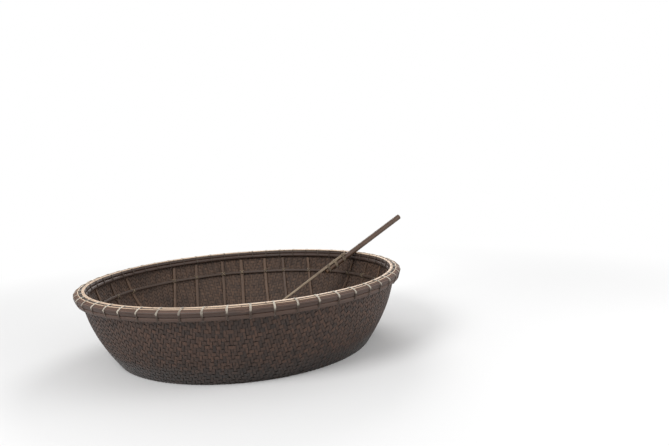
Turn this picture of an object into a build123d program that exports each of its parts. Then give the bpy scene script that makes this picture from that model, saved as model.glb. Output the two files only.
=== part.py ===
from build123d import *
import os
from math import cos, degrees, radians, sin

# A round basket boat of woven bamboo, upright on its flat underside, with its oar laid over the rim.
# The origin is on the hull's axis at the underside, with +Z up. The oar leans towards +X and a little +Y.
# Lengths are in millimetres and angles in degrees.

# Bowl: the mat is flat underneath, then goes up to the rim's foot in bands, from the floor outwards.
# Each row is (slope above level, length along the outline) of a band.
# Round the boat each band has one flat side for each lashing, and these sizes are at the middle of a side.
flat_radius = 640.0
mat_bands = [
    (8.5, 204.0),
    (22.0, 44.0),
    (34.0, 44.0),
    (46.5, 44.0),
    (57.0, 174.0),
    (65.0, 174.0),
    (75.5, 174.0),
]
mat_thickness = 9.0

# Clearance between pieces that only lie against each other
clearance = 0.3

# Rim: hoops clamp the mat's edge from both sides, and a strip caps it.
# Each row is (thickness, height) across and along the mat's edge, from the lowest hoop up.
outer_hoops = [(33.0, 31.0), (33.0, 27.0)]
inner_hoops = [(35.0, 58.3)]
# Each row is (width, thickness) of a cap strip, from the inside outwards.
cap_strips = [(52.0, 9.0)]

# Lashings: flat bands round the whole rim, threaded through slits in the mat
lashing_count = 54
first_lashing_angle = 4.8
lashing_width = 17.0
lashing_thickness = 3.0
slit_clearance = 0.4

# Ribs: split bamboo, one layer along X on the mat and one along Y on top of it, ending below the lashings.
# Each row is (distance from the axis, width).
rib_thickness = 7.0
rib_end_gap = 10.0
ribs_along_x = [
    (-610.0, 30.0),
    (-395.0, 34.0),
    (-205.0, 31.0),
    (15.0, 36.0),
    (190.0, 31.0),
    (420.0, 34.0),
    (600.0, 30.0),
]
ribs_along_y = [
    (-620.0, 31.0),
    (-430.0, 33.0),
    (-185.0, 30.0),
    (-10.0, 36.0),
    (215.0, 32.0),
    (385.0, 34.0),
    (615.0, 30.0),
]

# Wall hoop: one bent strip that holds the ribs to the wall, its middle this far below the rim's foot
wall_hoop_drop = 130.0
wall_hoop_height = 24.0
wall_hoop_thickness = 8.0

# Oar: a round pole with a flat cut on its upper side, and a plank blade lashed to that flat
pole_radius = 24.0
pole_length = 880.0
pole_flat_depth = 6.0
pole_end_bevel = 4.0
blade_length = 1290.0
blade_overlap = 230.0
blade_root_width = 62.0
blade_width = 128.0
blade_shoulder_length = 420.0
blade_root_thickness = 22.0
blade_tip_thickness = 13.0
blade_tip_radius = 45.0
# Each row is (distance from the blade's root end, width) of a lashing round pole and blade.
oar_lashings = [(35.0, 30.0), (125.0, 24.0), (200.0, 26.0)]

# How the oar lies: which rib along Y its foot stands over and where, its heading, and its roll about
# its length. The first lean is only where the search for the true one starts.
oar_foot_rib = ribs_along_y[2]
oar_foot_y = 160.0
oar_heading = 18.0
oar_roll = -19.0
oar_first_lean = 60.0


def outward(slope):
    """Unit vector out of the bowl where its outline has this slope."""
    return Vector(sin(radians(slope)), 0, -cos(radians(slope)))


def upward(slope):
    """Unit vector up along the bowl's outline where it has this slope."""
    return Vector(cos(radians(slope)), 0, sin(radians(slope)))


def bowl_line(inset, rise):
    """Points of the mat's outer face, inset inwards, from the axis up to rise above the rim's foot."""
    corner = Vector(flat_radius, 0, 0)
    points = [Vector(0, 0, inset)]
    slope = 0.0
    for next_slope, length in mat_bands:
        points.append(inset_corner(corner, slope, next_slope, inset))
        corner += length * upward(next_slope)
        slope = next_slope
    points.append(corner + rise * upward(slope) - inset * outward(slope))
    return points


def inset_corner(corner, slope, next_slope, inset):
    """Where two bands meet that are moved inwards by inset from the bands that meet at this corner."""
    half_turn = radians(next_slope - slope) / 2
    return corner - inset / cos(half_turn) * outward((slope + next_slope) / 2)


def bowl_shell(inset, thickness, rise):
    """A closed bowl between two insets of the outline, from the axis to the rim."""
    outer = bowl_line(inset, rise)
    inner = bowl_line(inset + thickness, rise)
    return many_sided(outer + inner[::-1])


def many_sided(section):
    """A section's points in the XZ plane, carried round the axis with one flat side for each lashing."""
    faces = []
    for first, second in zip(section, section[1:] + section[:1]):
        if first.X > 0 and second.X > 0:
            low, high = side_corners(first), side_corners(second)
            for number in range(lashing_count):
                quad = (low[number - 1], low[number], high[number], high[number - 1])
                faces.append(Face(Wire.make_polygon(quad)))
        elif first.X > 0 or second.X > 0:
            edge = max(first, second, key=lambda point: point.X)
            faces.append(Face(Wire.make_polygon(side_corners(edge))))
    return Solid(Shell(faces))


def side_corners(point):
    """Corners of the many-sided outline whose sides are this point's distance from the axis."""
    half_side = 180.0 / lashing_count
    first = Vector(corner_radius(point.X), 0, point.Z)
    return [first.rotate(Axis.Z, angle + half_side) for angle in lashing_angles()]


def corner_radius(side_radius):
    """How far the corners are from the axis where the middles of the sides are this far from it."""
    return side_radius / cos(radians(180.0 / lashing_count))


def corner_offset():
    """Where the mat's corners lie in the rim's section, from its sides' middles: out and a little up."""
    foot = rim_plane().origin
    return rim_plane().to_local_coords(Vector(corner_radius(foot.X), 0, foot.Z))


def rim_plane():
    """Plane of the rim's section: x out from the mat's outer face, y up along it from the rim's foot."""
    return Plane(origin=bowl_line(0.0, 0.0)[-1], x_dir=outward(mat_bands[-1][0]), z_dir=(0, -1, 0))


def rim_box(low_x, high_x, low_y, high_y):
    """Corner points of a rectangle in the rim's section."""
    return [(low_x, low_y), (high_x, low_y), (high_x, high_y), (low_x, high_y)]


def rim_corners(box):
    """The same corner points in the boat's XZ plane."""
    plane = rim_plane()
    return [plane.from_local_coords(Vector(x, y, 0)) for x, y in rim_box(*box)]


def hoop_sections():
    """Names and boxes of the rim's hoops and cap strips in its section: low and high x, low and high y."""
    sections = {}
    tops = []
    for side, rows in ((1, outer_hoops), (-1, inner_hoops)):
        face = clearance + corner_offset().X if side > 0 else mat_thickness + clearance
        foot = 0.0
        for number, (thickness, height) in enumerate(rows, 1):
            edges = sorted((side * face, side * (face + thickness)))
            name = f"rim_{'outer' if side > 0 else 'inner'}_hoop_{number}"
            sections[name] = (*edges, foot, foot + height)
            foot += height + clearance
        tops.append(foot - clearance)
    reach_in = mat_thickness + clearance + inner_hoops[-1][0]
    reach_out = clearance + corner_offset().X + outer_hoops[-1][0]
    gaps = clearance * (len(cap_strips) - 1)
    edge = (reach_out - reach_in - gaps - sum(width for width, _ in cap_strips)) / 2
    base = max(tops) + clearance
    for number, (width, thickness) in enumerate(cap_strips, 1):
        sections[f"rim_cap_strip_{number}"] = (edge, edge + width, base, base + thickness)
        edge += width + clearance
    return sections


def rim_height():
    """Height of the hoops between the rim's foot and its cap strips."""
    stacks = []
    for rows in (outer_hoops, inner_hoops):
        stacks.append(sum(height for _, height in rows) + clearance * (len(rows) - 1))
    return max(stacks)


def convex_outline(points):
    """The points that a tight band round all of them would touch, in order."""
    outline = []
    for ordered in (sorted(points), sorted(points, reverse=True)):
        chain = []
        for point in ordered:
            while len(chain) > 1 and turn(chain[-2], chain[-1], point) <= 0:
                chain.pop()
            chain.append(point)
        outline += chain[:-1]
    return outline


def turn(first, second, third):
    """Twice the signed area of a triangle: positive where its points turn left."""
    return (second[0] - first[0]) * (third[1] - first[1]) - (second[1] - first[1]) * (third[0] - first[0])


def lashing_section(sections):
    """A band round the convex outline of the rim's whole section, in the section plane."""
    corners = [corner for box in sections.values() for corner in rim_box(*box)]
    outline = make_face(Polyline(*convex_outline(corners), close=True))
    inner = offset(outline, clearance, kind=Kind.INTERSECTION)
    outer = offset(outline, clearance + lashing_thickness, kind=Kind.INTERSECTION)
    return outer - inner


def lashing_angles():
    """Angles of the lashings round the rim, each at the middle of one of the mat's sides."""
    return [first_lashing_angle + number * 360.0 / lashing_count for number in range(lashing_count)]


def slits(angles):
    """Cutters for the slits where the lashings pass through the mat, just below the hoops."""
    height = lashing_thickness + 2 * slit_clearance
    middle = Pos(-mat_thickness / 2, slit_clearance - clearance - height / 2)
    face = rim_plane() * middle * Rectangle(2 * mat_thickness, height)
    cutter = extrude(face, lashing_width / 2 + slit_clearance, both=True)
    return [Rot(0, 0, angle) * cutter for angle in angles]


def rib(layer, along_x, place, width, top):
    """A strip of a bowl-shaped layer between two upright planes, up to the height of the rim's foot."""
    reach = 2 * rim_plane().origin.X
    size = (reach, width, top) if along_x else (width, reach, top)
    shift = (0, place, 0) if along_x else (place, 0, 0)
    slab = Pos(*shift) * Box(*size, align=(Align.CENTER, Align.CENTER, Align.MIN))
    return layer & slab


def wall_hoop(inset):
    """The bent strip round the inside of the wall, on top of the ribs."""
    low = -wall_hoop_drop - wall_hoop_height / 2
    return many_sided(rim_corners((-inset - wall_hoop_thickness, -inset, low, low + wall_hoop_height)))


def blade_outline():
    """The blade's plan along +X from its tip: it narrows to the root that is lashed to the pole."""
    neck = blade_length - blade_overlap
    half = [
        (0, blade_width / 2),
        (neck - blade_shoulder_length, blade_width / 2),
        (neck, blade_root_width / 2),
        (blade_length, blade_root_width / 2),
    ]
    other_half = [(x, -y) for x, y in reversed(half)]
    outline = make_face(Polyline(*half, *other_half, close=True))
    tips = outline.vertices().group_by(Axis.X)[0]
    return fillet(tips, blade_tip_radius)


def oar_blade():
    """The plank blade: its tip at the origin, its underside on the XY plane, thinner towards its tip."""
    neck = blade_length - blade_overlap
    side = Polyline(
        (0, 0),
        (blade_length, 0),
        (blade_length, blade_root_thickness),
        (neck, blade_root_thickness),
        (0, blade_tip_thickness),
        close=True,
    )
    wedge = extrude(Plane.XZ * make_face(side), blade_width, both=True)
    return extrude(blade_outline(), blade_root_thickness) & wedge


def oar_pole():
    """The round pole under the blade's root, its upper side cut flat where the blade lies on it."""
    start = blade_length - blade_overlap - pole_end_bevel
    upright = (Align.CENTER, Align.CENTER, Align.MIN)
    pole = Cylinder(pole_radius, pole_length, align=upright)
    pole = Pos(start, 0, pole_axis_height()) * Rot(0, 90, 0) * pole
    pole = chamfer(pole.edges().filter_by(GeomType.CIRCLE), pole_end_bevel)
    seat_length = blade_overlap + 2 * pole_end_bevel
    lengthways = (Align.MIN, Align.CENTER, Align.MIN)
    seat = Box(seat_length, 2 * pole_radius, pole_radius, align=lengthways)
    return pole - Pos(start, 0, 0) * seat


def pole_axis_height():
    """Height of the pole's middle above the blade's underside: it is below it."""
    return pole_flat_depth - pole_radius


def oar_lashing_bands():
    """Bands tight round the pole and the blade's root."""
    pole = Pos(0, pole_axis_height()) * Circle(pole_radius)
    root = Pos(0, blade_root_thickness / 2) * Rectangle(blade_root_width, blade_root_thickness)
    bundle = make_hull(pole.edges() + root.edges())
    inner = offset(bundle, clearance, kind=Kind.INTERSECTION)
    section = offset(bundle, clearance + lashing_thickness, kind=Kind.INTERSECTION) - inner
    bands = []
    for distance, width in oar_lashings:
        middle = Plane(origin=(blade_length - distance, 0, 0), x_dir=(0, 1, 0), z_dir=(1, 0, 0))
        bands.append(middle * extrude(section, width / 2, both=True))
    return Compound(bands)


def rim_gap(start, along, corners):
    """Least gap between the pole, whose middle line is given, and the circles that the rim's corners make."""
    angle, span = oar_heading, 90.0
    rounds, tries = 6, 10
    for _ in range(rounds):
        trials = []
        for step in range(-tries, tries + 1):
            trial = angle + span * step / tries
            spots = [Vector(corner.X, 0, corner.Z).rotate(Axis.Z, trial) for corner in corners]
            nearest = min((spot - start).cross(along).length for spot in spots)
            trials.append((nearest - pole_radius, trial))
        gap, angle = min(trials)
        span /= tries / 2
    return gap


def settled_place(blade, floor_height, corners):
    """Stand the oar's blade on the floor and lower its pole, step by step, until the rim carries it."""
    foot_x = oar_foot_rib[0]
    whole_length = blade_length - blade_overlap + pole_length
    lean = oar_first_lean
    steps = 12
    for _ in range(steps):
        turned = Rot(0, 0, oar_heading) * Rot(0, -lean, 0) * Rot(oar_roll, 0, 0)
        foot_height = floor_height + clearance - (turned * blade).bounding_box().min.Z
        place = Pos(foot_x, oar_foot_y, foot_height) * turned
        start = (place * Pos(0, 0, pole_axis_height())).position
        along = (place * Pos(1, 0, pole_axis_height())).position - start
        gap = rim_gap(start, along, corners)
        lean -= degrees((gap - clearance) / whole_length)
    return place


sections = hoop_sections()
section_plane = rim_plane()
parts = {}
for name, section in sections.items():
    parts[name] = revolve(make_face(Polyline(*rim_corners(section), close=True)), Axis.Z)

rib_x_inset = mat_thickness + clearance
rib_y_inset = rib_x_inset + rib_thickness + clearance
hoop_inset = rib_y_inset + rib_thickness + clearance
rim_foot = section_plane.origin.Z
layer_x = bowl_shell(rib_x_inset, rib_thickness, 0)
layer_y = bowl_shell(rib_y_inset, rib_thickness, 0)
rib_top = rim_foot - lashing_thickness - rib_end_gap
for number, (place, width) in enumerate(ribs_along_x, 1):
    parts[f"rib_across_{number}"] = rib(layer_x, True, place, width, rib_top)
for number, (place, width) in enumerate(ribs_along_y, 1):
    parts[f"rib_along_{number}"] = rib(layer_y, False, place, width, rib_top)
parts["wall_hoop"] = wall_hoop(hoop_inset)

corners = []
for section in sections.values():
    corners += rim_corners(section)
blade = oar_blade()
place = settled_place(blade, hoop_inset - clearance, corners)
parts["oar_blade"] = place * blade
parts["oar_pole"] = place * oar_pole()
parts["oar_lashings"] = place * oar_lashing_bands()

angles = lashing_angles()
band = extrude(section_plane * lashing_section(sections), lashing_width / 2, both=True)
parts["rim_lashings"] = Compound([Rot(0, 0, angle) * band for angle in angles])
mat = bowl_shell(0.0, mat_thickness, rim_height() - corner_offset().Y)
parts["woven_mat"] = mat - slits(angles)

os.makedirs("parts", exist_ok=True)
for name, piece in parts.items():
    export_step(piece, f"parts/{name}.step")
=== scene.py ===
"""Round basket boat: woven bamboo mat, lashed split-bamboo rim, crossed ribs and a sculling oar."""

import logging
import math
from collections.abc import Callable
from dataclasses import dataclass, field
from enum import Enum
from typing import Union

import bpy
import numpy as np
from mathutils import Matrix, Vector


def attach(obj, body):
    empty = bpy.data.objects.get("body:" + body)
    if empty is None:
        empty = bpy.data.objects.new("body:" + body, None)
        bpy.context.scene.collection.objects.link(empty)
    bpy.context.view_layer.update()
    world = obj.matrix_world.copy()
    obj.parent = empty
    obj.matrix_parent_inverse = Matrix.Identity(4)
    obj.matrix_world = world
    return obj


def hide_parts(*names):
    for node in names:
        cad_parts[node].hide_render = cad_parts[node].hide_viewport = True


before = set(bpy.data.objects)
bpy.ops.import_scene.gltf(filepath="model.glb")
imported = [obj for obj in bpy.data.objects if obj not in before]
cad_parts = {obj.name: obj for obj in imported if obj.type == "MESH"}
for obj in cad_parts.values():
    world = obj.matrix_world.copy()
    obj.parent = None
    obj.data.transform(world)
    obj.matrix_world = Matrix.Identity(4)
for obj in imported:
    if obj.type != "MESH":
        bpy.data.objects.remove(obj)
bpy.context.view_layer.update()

LOG = logging.getLogger("basket_boat")
BODY = "root"
WATERLINE = 0.103
FULL_TURN = 2 * math.pi
SHARP_TURN = math.radians(35)
WHITE = (1.0, 1.0, 1.0, 1.0)

Pair = tuple[float, float]
Triple = tuple[float, float, float]
Colour = Triple
Array = np.ndarray
Numbers = Array | float
Value = Union["Wire", float, tuple, bpy.types.ID]


def linear(red: int, green: int, blue: int) -> Colour:
    """Linear parts of a colour that is given in sRGB from 0 to 255."""
    parts = [part / 255 for part in (red, green, blue)]
    return tuple(p / 12.92 if p <= 0.04045 else ((p + 0.055) / 1.055) ** 2.4 for p in parts)


def node_operator(operation: str, swapped: bool = False) -> Callable[["Wire", Value], "Wire"]:
    """Method for a Python operator, which adds a Math node.

    Args:
        operation: The node's operation.
        swapped: True for a reflected form, where the other value comes first.

    Returns:
        The method.
    """
    def method(self: "Wire", other: Value) -> "Wire":
        """Result of the operation on this wire and another value."""
        return self.tree.maths(operation, *((other, self) if swapped else (self, other)))

    return method


class Wire:
    """One output of a node, so that node maths is written as Python expressions."""

    def __init__(self, tree: "NodeTree", source: bpy.types.NodeSocket) -> None:
        """Keep the tree and the socket."""
        self.tree = tree
        self.source = source

    def pick(self, name: str) -> "Wire":
        """Another output of the same node, by name."""
        outputs = self.source.node.outputs
        return Wire(self.tree, next(s for s in outputs if s.name == name and s.enabled))

    def apply(self, operation: str, *others: Value) -> "Wire":
        """Result of a Math node on this wire and other values."""
        return self.tree.maths(operation, self, *others)

    __add__ = __radd__ = node_operator("ADD")
    __sub__, __rsub__ = node_operator("SUBTRACT"), node_operator("SUBTRACT", swapped=True)
    __mul__ = __rmul__ = node_operator("MULTIPLY")
    __truediv__, __rtruediv__ = node_operator("DIVIDE"), node_operator("DIVIDE", swapped=True)
    __pow__, __rpow__ = node_operator("POWER"), node_operator("POWER", swapped=True)
    __gt__, __lt__ = node_operator("GREATER_THAN"), node_operator("LESS_THAN")


class NodeTree:
    """Adds nodes to a tree, which it empties first."""

    def __init__(self, tree: bpy.types.NodeTree) -> None:
        """Keep the tree and empty it."""
        self.tree = tree
        tree.nodes.clear()

    def add(self, kind: str, values: dict[str | int, Value] | None = None,
            **settings: object) -> Wire | None:
        """Add one node.

        Args:
            kind: The node's type.
            values: What its inputs get, by name or number.
            settings: The node's settings, which are set first.

        Returns:
            Its first output that is in use, if it has one.
        """
        node = self.tree.nodes.new(kind)
        for name, setting in settings.items():
            setattr(node, name, setting)
        for name, value in (values or {}).items():
            socket = node.inputs[name] if isinstance(name, int) else next(
                socket for socket in node.inputs if socket.name == name and socket.enabled)
            if isinstance(value, Wire):
                self.tree.links.new(value.source, socket)
            else:
                socket.default_value = value
        outputs = [socket for socket in node.outputs if socket.enabled]
        return Wire(self, outputs[0]) if outputs else None

    def maths(self, operation: str, *values: Value) -> Wire:
        """Result of a Math node."""
        return self.add("ShaderNodeMath", dict(enumerate(values)), operation=operation)

    def view_rays(self, *kinds: str) -> Wire:
        """One for rays of these kinds, which see the surroundings as plain white, else nought."""
        rays = self.add("ShaderNodeLightPath")
        seen = rays.pick(kinds[0])
        for kind in kinds[1:]:
            seen = seen.apply("MAXIMUM", rays.pick(kind))
        return seen


class Grain(Enum):
    """Kinds of noise, by its detail and its roughness."""

    SOFT = (2.0, 0.5)
    PLAIN = (3.0, 0.6)
    PATCHY = (4.0, 0.6)
    FIBROUS = (4.0, 0.65)


class Paint(NodeTree):
    """A material's nodes, with the patterns that the finishes share."""

    def __init__(self, name: str) -> None:
        """Make the material."""
        self.material = bpy.data.materials.new(name)
        self.material.use_nodes = True
        super().__init__(self.material.node_tree)
        self.place = self.add("ShaderNodeTexCoord").pick("Object")

    def marks(self, *names: str) -> list[Wire]:
        """Numbers that are stored on the mesh under these names."""
        return [self.add("ShaderNodeAttribute", attribute_name=name).pick("Fac") for name in names]

    def noise(self, spot: Wire | tuple[Value, Value, Value], scale: float, grain: Grain) -> Wire:
        """Noise from 0 to 1.

        Args:
            spot: Where it is read: a vector, or the three numbers of one.
            scale: Lumps in each unit of that place.
            grain: Its kind.

        Returns:
            Its value.
        """
        if isinstance(spot, tuple):
            spot = self.add("ShaderNodeCombineXYZ", dict(zip("XYZ", spot)))
        detail, roughness = grain.value
        return self.add("ShaderNodeTexNoise",
                        {"Vector": spot, "Scale": scale, "Detail": detail, "Roughness": roughness})

    def rise(self, value: Wire, low: float, high: float) -> Wire:
        """Smooth step from 0 at low to 1 at high."""
        return self.add("ShaderNodeMapRange", {"Value": value, "From Min": low, "From Max": high},
                        interpolation_type="SMOOTHSTEP")

    def mix(self, share: Value, first: Wire | Colour, second: Wire | Colour) -> Wire:
        """Colour that has this share of the second one, the rest being the first."""
        first, second = ((*c, 1.0) if isinstance(c, tuple) else c for c in (first, second))
        return self.add("ShaderNodeMix", {"Factor": share, "A": first, "B": second},
                        data_type="RGBA", clamp_factor=True)

    def finish(self, colour: Wire | Colour, roughness: Value, height: Wire, strength: float, depth: float,
               sheen: float = 0.0) -> bpy.types.Material:
        """Close the material with its shader.

        Args:
            colour: Base colour.
            roughness: Roughness.
            height: Relief, from 0 to 1.
            strength: Strength of the relief.
            depth: Height of the relief in metres.
            sheen: Weight of a soft sheen.

        Returns:
            The material.
        """
        base = (*colour, 1.0) if isinstance(colour, tuple) else colour
        bump = self.add("ShaderNodeBump", {"Strength": strength, "Distance": depth, "Height": height})
        shader = self.add("ShaderNodeBsdfPrincipled", {"Base Color": base, "Roughness": roughness,
                                                       "Normal": bump, "Sheen Weight": sheen})
        self.add("ShaderNodeOutputMaterial", {"Surface": shader})
        return self.material


@dataclass(frozen=True)
class WovenBamboo:
    """Split bamboo of the mat: pitched and dark outside, drier inside, wet near the water, painted shade in
    the hollows.
    """

    name: str = "woven_bamboo"
    outside: Colour = linear(88, 61, 46)
    outside_dark: Colour = linear(34, 24, 19)
    inside: Colour = linear(100, 75, 58)
    inside_dark: Colour = linear(52, 38, 30)
    # Colour of pitch, also used for the painted shade in the weave's hollows.
    tar: Colour = linear(19, 15, 12)
    tar_share: float = 0.55
    wet_top: float = 0.26
    wet_fade: float = 0.09

    def material(self) -> bpy.types.Material:
        """Build the material from the strips' own attributes."""
        paint = Paint(self.name)
        along, across, tone, skin, lift = paint.marks("along", "across", "tone", "outside", "lift")
        height = paint.add("ShaderNodeSeparateXYZ", {0: paint.place}).pick("Z")
        fibres = paint.noise((along * 9.0, across * 1.9, tone * 61.0), 3.0, Grain.PLAIN)
        patch = paint.noise((along * 2.0, tone * 40.0, 0.0), 5.0, Grain.SOFT)
        blotch = paint.noise(paint.place, 3.1, Grain.PATCHY)
        grime_and_shade = paint.noise(paint.place, 13.0, Grain.PATCHY)
        shade = tone * 0.5 + fibres * 0.55 + patch * 0.5 - 0.35
        facing = skin > 0.0
        body = paint.mix(facing, paint.mix(shade, self.inside_dark, self.inside),
                         paint.mix(shade, self.outside_dark, self.outside))
        # Painted shade, in the colour of pitch, darkens the weave where a strip dips under others and along
        # its edges; pitch lies in smears and near the water.
        near = facing * (2.0 * lift - 1.0) + 1.0 - lift
        dip_shade = 1.0 - paint.rise(near + (grime_and_shade - 0.5) * 0.3, 0.30, 0.86)
        hollow_shade = dip_shade * 0.85 + paint.rise(across.apply("ABSOLUTE"), 0.80, 1.0) * 0.45
        smear = paint.rise(grime_and_shade * 0.6 + blotch * 0.6 - height * 0.12, 0.56, 0.80)
        wet_line = height + (blotch - 0.5) * 0.16
        wet = facing * (1.0 - paint.rise(wet_line, self.wet_top - self.wet_fade, self.wet_top))
        for share in (hollow_shade, smear * self.tar_share, wet * self.tar_share):
            body = paint.mix(share, body, self.tar)
        rough = 0.62 - facing * 0.10 + grime_and_shade * 0.16 - wet * 0.22
        return paint.finish(body, rough, fibres * 0.6 + near * 0.4, 0.6, 0.0007)


@dataclass(frozen=True)
class TarCoat:
    """Pitch that fills the mat between its strips."""

    name: str = "tar_coat"
    colour: Colour = linear(24, 18, 15)

    def material(self) -> bpy.types.Material:
        """Build the material, with small lumps."""
        paint = Paint(self.name)
        lumps = paint.noise(paint.place, 40.0, Grain.PLAIN)
        return paint.finish(self.colour, 0.55 + lumps * 0.2, lumps, 0.4, 0.001)


@dataclass(frozen=True)
class SplitBamboo:
    """Split bamboo of the rim, ribs and wall hoop: skin outside, pale fibres at its split edges."""

    name: str
    skin: Colour
    skin_dark: Colour
    fibre: Colour
    joint: Colour = linear(70, 52, 38)
    joint_pitch: float = 0.34
    joint_core: float = 0.001
    joint_edge: float = 0.0065
    roughness: float = 0.5
    edge_share: float = 0.5

    def material(self) -> bpy.types.Material:
        """Build the material from the strips' own attributes."""
        paint = Paint(self.name)
        along, across, tone, face = paint.marks("along", "across", "tone", "outside")
        fibres = paint.noise((along * 1.6, across * 5.0, tone * 43.0 + face * 1.5), 2.6, Grain.FIBROUS)
        streak = paint.noise((along * 0.7, across * 1.7, tone * 23.0), 2.2, Grain.SOFT)
        stains = paint.noise(paint.place, 7.0, Grain.PATCHY)
        skin = paint.mix(fibres * 0.55 + streak * 0.55 + tone * 0.5 - 0.3, self.skin_dark, self.skin)
        skin = paint.mix(paint.rise(stains, 0.52, 0.74) * 0.5, skin, self.skin_dark)
        # Fibres lie bare along the split edges and on the inner face.
        bare = paint.rise(across.apply("ABSOLUTE"), 0.70, 0.98)
        split = bare * self.edge_share + paint.rise(face, 0.15, -0.35)
        body = paint.mix(split.apply("MINIMUM", 1.0), skin, paint.mix(fibres, self.fibre, self.skin))
        # The bamboo's joints ring the strip at even distances.
        gap = ((along / self.joint_pitch + tone * 7.0).apply("FRACT") - 0.5) * self.joint_pitch
        ring = 1.0 - paint.rise(gap.apply("ABSOLUTE"), self.joint_core, self.joint_edge)
        body = paint.mix(ring * 0.7, body, self.joint)
        rough = self.roughness + fibres * 0.2 + bare * 0.1
        return paint.finish(body, rough, fibres * 0.5 + ring * 0.5, 0.5, 0.0012)


@dataclass(frozen=True)
class TwistedCord:
    """Pale fishing cord with a lay that runs round it, dirty in patches, with painted shade in the lay's
    grooves; one that fades is pale where worn on the rim's top, with painted shade lower down and inside.
    """

    name: str
    pale: Colour
    # Colour of dirt, also used for painted shade.
    soiled: Colour
    lay: float = 0.006
    fades: bool = False

    def material(self) -> bpy.types.Material:
        """Build the material from the cord's own attributes."""
        paint = Paint(self.name)
        along, across, outer, tone = paint.marks("along", "across", "outside", "tone")
        groove = (along / self.lay + across.apply("ARCTAN2", outer) / FULL_TURN).apply("PINGPONG", 0.5) * 2.0
        dirt = paint.noise(paint.place, 21.0, Grain.PLAIN)
        grime_and_shade = paint.rise(dirt + tone * 0.25, 0.42, 0.85) * 0.75
        # A cord that fades stays pale where its worn share is high, on the rim's top, and is given painted
        # shade lower down and on the rim's inner side.
        if self.fades:
            grime_and_shade = grime_and_shade * 0.7 + (1.0 - paint.marks("worn")[0]) * 0.95
        colour = paint.mix(grime_and_shade, self.pale, self.soiled)
        # Painted shade: the cord is darker in the grooves of its lay.
        colour = paint.mix((1.0 - groove) * 0.45, colour, self.soiled)
        return paint.finish(colour, 0.85, groove, 0.6, 0.0008, sheen=0.15)


@dataclass(frozen=True)
class RoundBamboo:
    """Dark round pole, worn smooth by hands."""

    name: str = "pole_bamboo"
    skin: Colour = linear(96, 70, 50)
    dark: Colour = linear(44, 31, 24)
    worn: Colour = linear(140, 108, 80)
    cut: Colour = linear(150, 122, 92)

    def material(self) -> bpy.types.Material:
        """Build the material from the pole's own attributes."""
        paint = Paint(self.name)
        along, across, outer, knot, cut = paint.marks("along", "across", "outside", "knot", "cut")
        fibres = paint.noise((along * 1.2, across * 1.5, outer * 1.5), 7.0, Grain.FIBROUS)
        stains = paint.noise(paint.place, 9.0, Grain.PATCHY)
        body = paint.mix(fibres * 0.7 + stains * 0.5 - 0.1, self.dark, self.skin)
        body = paint.mix(paint.rise(stains, 0.55, 0.78) * 0.5, body, self.worn)
        body = paint.mix(knot * 0.65, body, self.dark)
        body = paint.mix(cut, body, self.cut)
        return paint.finish(body, 0.42 + fibres * 0.25, fibres * 0.6 + knot * 0.4, 0.4, 0.001)


@dataclass(frozen=True)
class PlankWood:
    """Bare sawn plank with grain that runs along it, darker where its tip soaks."""

    name: str = "blade_wood"
    pale: Colour = linear(176, 158, 136)
    grain: Colour = linear(122, 104, 84)
    wet: Colour = linear(88, 73, 59)

    def material(self) -> bpy.types.Material:
        """Build the material from the blade's own attributes."""
        paint = Paint(self.name)
        along, across, outer = paint.marks("along", "across", "outside")
        warp = paint.noise((along * 1.4, across * 3.0, outer * 0.4), 1.6, Grain.SOFT)
        rings = (across * 7.5 + outer * 0.6 + warp * 6.0).apply("PINGPONG", 1.0)
        fine = paint.noise((along * 2.0, across * 40.0, outer * 8.0), 1.4, Grain.PLAIN)
        stains = paint.noise(paint.place, 6.0, Grain.PATCHY)
        body = paint.mix(rings * 0.45 + fine * 0.35, self.pale, self.grain)
        soak = paint.rise(along + stains * 0.5, 0.75, 1.45)
        body = paint.mix(soak * 0.55 + paint.rise(stains, 0.5, 0.8) * 0.3, body, self.wet)
        return paint.finish(body, 0.66 + fine * 0.15, fine * 0.6 + rings * 0.4, 0.35, 0.0008)


@dataclass(frozen=True)
class StudioFloor:
    """Pale floor that fades to white away from the boat."""

    name: str = "studio_floor"
    colour: Colour = (0.78, 0.78, 0.78)
    fade_from: float = 1.5
    fade_to: float = 5.5

    def material(self) -> bpy.types.Material:
        """Build the floor, white to the camera far from the boat."""
        paint = Paint(self.name)
        reach = paint.add("ShaderNodeVectorMath", {0: paint.place}, operation="LENGTH").pick("Value")
        seen = paint.view_rays("Is Camera Ray", "Is Glossy Ray")
        share = paint.rise(reach, self.fade_from, self.fade_to) * seen
        matt = paint.add("ShaderNodeBsdfPrincipled",
                         {"Base Color": (*self.colour, 1.0), "Roughness": 0.9, "Specular IOR Level": 0.1})
        glow = paint.add("ShaderNodeEmission", {"Color": WHITE, "Strength": 1.0})
        both = paint.add("ShaderNodeMixShader", {0: share, 1: matt, 2: glow})
        paint.add("ShaderNodeOutputMaterial", {"Surface": both})
        return paint.material


def unit(vectors: Array) -> Array:
    """The vectors at length one."""
    return vectors / np.linalg.norm(vectors, axis=-1, keepdims=True)


def around(radius: Numbers, angles: Array, height: Numbers) -> Array:
    """Points, or directions, at these distances from the hull's axis, angles round it and heights."""
    return np.stack(np.broadcast_arrays(radius * np.cos(angles), radius * np.sin(angles), height), -1)


def run_lengths(points: Array) -> Array:
    """Length along a line at each of its points."""
    return np.concatenate([[0.0], np.cumsum(np.linalg.norm(np.diff(points, axis=0), axis=1))])


def wander(places: Array, size: float, seed: int, waves: tuple[int, ...] = (2, 5, 11, 19)) -> Array:
    """Small uneven wandering, which closes on itself after one turn.

    Args:
        places: Angles in radians.
        size: Greatest part of each wave.
        seed: Seed of its phases.
        waves: Waves in one turn.

    Returns:
        One offset for each place.
    """
    phases = np.random.default_rng(seed).uniform(0, FULL_TURN, len(waves))
    return sum(size / (1 + 0.25 * wave) * np.sin(wave * places + phase) for wave, phase in zip(waves, phases))


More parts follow.
